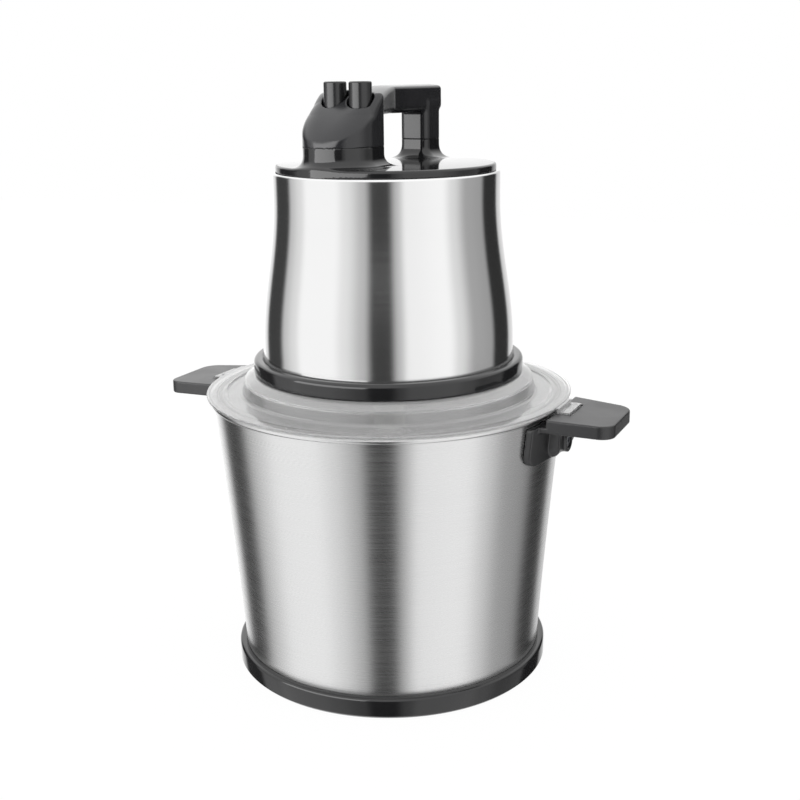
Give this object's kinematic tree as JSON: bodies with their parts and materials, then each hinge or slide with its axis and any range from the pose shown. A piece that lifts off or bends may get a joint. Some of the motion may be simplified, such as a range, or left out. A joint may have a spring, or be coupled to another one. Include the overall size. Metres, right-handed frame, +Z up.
{
  "type": "electric food chopper",
  "caption": "Steel bowl with two side handles, a clear lid and a removable motor head with a carrying handle and push buttons, driving stacked curved blades through planet gears.",
  "frame": {"origin": "middle of the foot ring's underside, on the table", "axes": "+Z up along the spindle, +X towards the right side handle, the buttons on the -Y side"},
  "size_m": [0.3764, 0.2852, 0.456],
  "materials": {
    "polished_steel": "polished stainless sheet",
    "black_gloss_plastic": "glossy",
    "black_satin_plastic": "satin",
    "dark_moulding": "matt moulding",
    "clear_plastic": "clear moulded plastic",
    "silicone": "soft silicone",
    "black_rubber": "soft",
    "zinc_steel": "zinc plated",
    "ground_steel": "ground",
    "white_nylon": "moulded",
    "gear_nylon": "moulded",
    "sintered_steel": "sintered and laminated",
    "cast_aluminium": "die cast",
    "bronze": "sintered bronze and pressed brass",
    "copper": "enamelled wire and copper",
    "carbon": "pressed carbon",
    "laminate_board": "sawn board"
  },
  "bodies": {
    "bowl": {"bowl_shell": "polished_steel", "foot_ring": "black_gloss_plastic", "bowl_spindle": "ground_steel", "spindle_seal": "silicone", "spindle_washer": "zinc_steel", "spindle_nut": "zinc_steel", "handle_brackets": "zinc_steel", "handle_left": "black_satin_plastic", "handle_right": "black_satin_plastic", "handle_screws": "zinc_steel"},
    "lid": {"lid_cover": "clear_plastic", "lid_rim": "clear_plastic", "lid_seal": "silicone"},
    "blade_unit": {"blade_hub": "white_nylon", "blade_lower": "ground_steel", "blade_spacer": "white_nylon", "blade_upper": "ground_steel", "blade_nut": "white_nylon"},
    "head": {"head_ring": "black_gloss_plastic", "base_plate": "dark_moulding", "steel_sleeve": "polished_steel", "top_cover": "black_gloss_plastic", "handle_shell": "black_satin_plastic", "cover_screws": "zinc_steel", "tie_bolts": "zinc_steel", "output_bush": "bronze", "output_seal": "black_rubber", "gearbox_case": "cast_aluminium", "ring_gear": "sintered_steel", "motor_base": "cast_aluminium", "motor_bolts": "zinc_steel", "motor_spacers": "zinc_steel", "stator_core": "sintered_steel", "field_coils": "copper", "brush_holders": "bronze", "carbon_brushes": "carbon", "motor_bridge": "cast_aluminium", "lower_bearing": "ground_steel", "upper_bearing": "ground_steel", "switch_bracket": "laminate_board", "switch_low": "dark_moulding", "switch_high": "dark_moulding", "cord_grommet": "black_rubber", "button_spring_low": "zinc_steel", "button_spring_high": "zinc_steel"},
    "carrier": {"gear_carrier": "ground_steel"},
    "planet_one": {"planet_gear_1": "gear_nylon"},
    "planet_two": {"planet_gear_2": "gear_nylon"},
    "planet_three": {"planet_gear_3": "gear_nylon"},
    "rotor": {"motor_shaft": "ground_steel", "armature_core": "sintered_steel", "armature_winding": "copper", "commutator": "copper", "cooling_fan": "dark_moulding", "sun_gear": "sintered_steel"},
    "low_button": {"button_low": "black_gloss_plastic"},
    "high_button": {"button_high": "black_gloss_plastic"}
  },
  "joints": [
    {"name": "lid_lift", "type": "slide", "parent": "bowl", "child": "lid", "axis": [0, 0, 1], "range_m": [0, 0.12]},
    {"name": "head_lift", "type": "slide", "parent": "lid", "child": "head", "axis": [0, 0, 1], "range_m": [0, 0.1]},
    {"name": "blade_spin", "type": "hinge", "parent": "bowl", "child": "blade_unit", "pos_m": [0, 0, 0.1], "axis": [0, 0, 1], "continuous": true},
    {"name": "rotor_spin", "type": "hinge", "parent": "head", "child": "rotor", "pos_m": [0, 0, 0.3], "axis": [0, 0, 1], "continuous": true},
    {"name": "carrier_spin", "type": "hinge", "parent": "head", "child": "carrier", "pos_m": [0, 0, 0.255], "axis": [0, 0, 1], "continuous": true},
    {"name": "planet_one_spin", "type": "hinge", "parent": "carrier", "child": "planet_one", "pos_m": [0.02233, -0.00274, 0.264], "axis": [0, 0, 1], "continuous": true},
    {"name": "planet_two_spin", "type": "hinge", "parent": "carrier", "child": "planet_two", "pos_m": [-0.00879, 0.02071, 0.264], "axis": [0, 0, 1], "continuous": true},
    {"name": "planet_three_spin", "type": "hinge", "parent": "carrier", "child": "planet_three", "pos_m": [-0.01354, -0.01797, 0.264], "axis": [0, 0, 1], "continuous": true},
    {"name": "press_low", "type": "slide", "parent": "head", "child": "low_button", "axis": [0, 0, -1], "range_m": [0, 0.004], "stiffness_N_per_m": 400, "deforming": ["button_spring_low"]},
    {"name": "press_high", "type": "slide", "parent": "head", "child": "high_button", "axis": [0, 0, -1], "range_m": [0, 0.004], "stiffness_N_per_m": 400, "deforming": ["button_spring_high"]}
  ],
  "couplings": [
    {"joint": "carrier_spin", "follows": "rotor_spin", "ratio": 0.16667},
    {"joint": "blade_spin", "follows": "rotor_spin", "ratio": 0.16667},
    {"joint": "planet_one_spin", "follows": "rotor_spin", "ratio": -0.41667},
    {"joint": "planet_two_spin", "follows": "rotor_spin", "ratio": -0.41667},
    {"joint": "planet_three_spin", "follows": "rotor_spin", "ratio": -0.41667}
  ]
}
